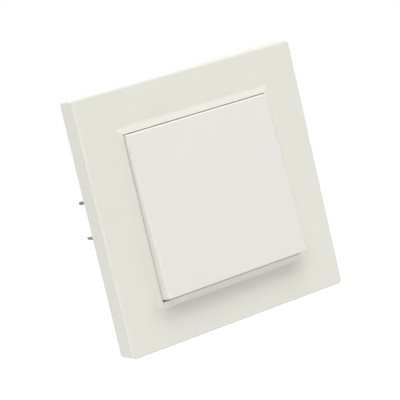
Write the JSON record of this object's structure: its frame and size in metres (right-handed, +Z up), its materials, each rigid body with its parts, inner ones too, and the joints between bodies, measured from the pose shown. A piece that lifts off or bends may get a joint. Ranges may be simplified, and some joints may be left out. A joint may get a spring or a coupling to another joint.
{
  "type": "two-way light switch",
  "caption": "Flush-mounted two-way rocker light switch: square frame with bevelled border, tilting rocker, and behind it a steel ring, spreader claws and push-in terminals.",
  "frame": {"origin": "centre of the switch in the plane of the wall, at the back of the support ring and frame", "axes": "+X right and +Z up as seen from the room, -Y out of the wall towards the room"},
  "size_m": [0.08, 0.0382, 0.08],
  "materials": {
    "ivory_plastic": "semi-gloss moulded plastic, warm white",
    "mechanism_plastic": "moulded plastic, light grey",
    "base_plastic": "moulded thermoset, off-white",
    "lever_plastic": "moulded plastic, orange",
    "zinc_steel": "zinc-plated sheet steel",
    "claw_steel": "phosphated sheet steel, dark grey",
    "screw_steel": "zinc-plated steel",
    "spring_steel": "bright spring steel",
    "busbar_brass": "rolled brass strip",
    "contact_silver": "silver alloy"
  },
  "bodies": {
    "housing": {"cover_frame": "ivory_plastic", "mechanism_cover": "mechanism_plastic", "base": "base_plastic", "support_ring": "zinc_steel", "rivets": "screw_steel", "fixed_contacts": "contact_silver", "common_busbar": "busbar_brass", "traveller_busbar_1": "busbar_brass", "traveller_busbar_2": "busbar_brass", "common_clamp_spring": "spring_steel", "traveller_clamp_spring_1": "spring_steel", "traveller_clamp_spring_2": "spring_steel"},
    "rocker_unit": {"rocker": "ivory_plastic", "rocker_carrier": "mechanism_plastic", "plunger_spring": "spring_steel"},
    "plunger": {"plunger": "mechanism_plastic"},
    "contact_rocker": {"contact_blade": "busbar_brass", "moving_contacts": "contact_silver"},
    "common_release_lever": {"common_release_lever": "lever_plastic"},
    "traveller_release_lever_1": {"traveller_release_lever_1": "lever_plastic"},
    "traveller_release_lever_2": {"traveller_release_lever_2": "lever_plastic"},
    "left_claw_screw": {"left_claw_screw": "screw_steel"},
    "left_claw_nut": {"left_claw_nut": "screw_steel"},
    "left_claw": {"left_claw": "claw_steel"},
    "right_claw_screw": {"right_claw_screw": "screw_steel"},
    "right_claw_nut": {"right_claw_nut": "screw_steel"},
    "right_claw": {"right_claw": "claw_steel"}
  },
  "joints": [
    {"name": "rocker_tilt", "type": "hinge", "parent": "housing", "child": "rocker_unit", "pos_m": [0, -0.0024, 0], "axis": [1, 0, 0], "range_deg": [0, 7.7]},
    {"name": "plunger_press", "type": "slide", "parent": "rocker_unit", "child": "plunger", "axis": [0, -0.9977, 0.0671], "range_m": [0, 0.0006], "stiffness_N_per_m": 400, "springref_m": -0.001, "deforming": ["plunger_spring"]},
    {"name": "contact_tilt", "type": "hinge", "parent": "housing", "child": "contact_rocker", "pos_m": [0, 0.01, 0], "axis": [1, 0, 0], "range_deg": [-24.75, 0]},
    {"name": "common_lever_press", "type": "slide", "parent": "housing", "child": "common_release_lever", "axis": [0, -1, 0], "range_m": [0, 0.0012], "stiffness_N_per_m": 600, "springref_m": -0.0005, "deforming": ["common_clamp_spring"]},
    {"name": "traveller_1_lever_press", "type": "slide", "parent": "housing", "child": "traveller_release_lever_1", "axis": [0, -1, 0], "range_m": [0, 0.0012], "stiffness_N_per_m": 600, "springref_m": -0.0005, "deforming": ["traveller_clamp_spring_1"]},
    {"name": "traveller_2_lever_press", "type": "slide", "parent": "housing", "child": "traveller_release_lever_2", "axis": [0, -1, 0], "range_m": [0, 0.0012], "stiffness_N_per_m": 600, "springref_m": -0.0005, "deforming": ["traveller_clamp_spring_2"]},
    {"name": "left_screw_turn", "type": "hinge", "parent": "housing", "child": "left_claw_screw", "pos_m": [-0.0232, 0, 0], "axis": [0, 1, 0], "range_deg": [0, 2160]},
    {"name": "left_nut_travel", "type": "slide", "parent": "housing", "child": "left_claw_nut", "axis": [0, -1, 0], "range_m": [0, 0.003]},
    {"name": "left_claw_swing", "type": "hinge", "parent": "housing", "child": "left_claw", "pos_m": [-0.0185, 0.012, 0], "axis": [0, 0, 1], "range_deg": [0, 35.4]},
    {"name": "right_screw_turn", "type": "hinge", "parent": "housing", "child": "right_claw_screw", "pos_m": [0.0232, 0, 0], "axis": [0, 1, 0], "range_deg": [0, 2160]},
    {"name": "right_nut_travel", "type": "slide", "parent": "housing", "child": "right_claw_nut", "axis": [0, -1, 0], "range_m": [0, 0.003]},
    {"name": "right_claw_swing", "type": "hinge", "parent": "housing", "child": "right_claw", "pos_m": [0.0185, 0.012, 0], "axis": [0, 0, -1], "range_deg": [0, 35.4]}
  ],
  "couplings": [
    {"joint": "contact_tilt", "follows": "rocker_tilt", "ratio": -3.2139},
    {"joint": "left_screw_turn", "follows": "left_nut_travel", "rad_per_m": 12566},
    {"joint": "left_claw_swing", "follows": "left_nut_travel", "rad_per_m": 205.95},
    {"joint": "right_screw_turn", "follows": "right_nut_travel", "rad_per_m": 12566},
    {"joint": "right_claw_swing", "follows": "right_nut_travel", "rad_per_m": 205.95}
  ]
}
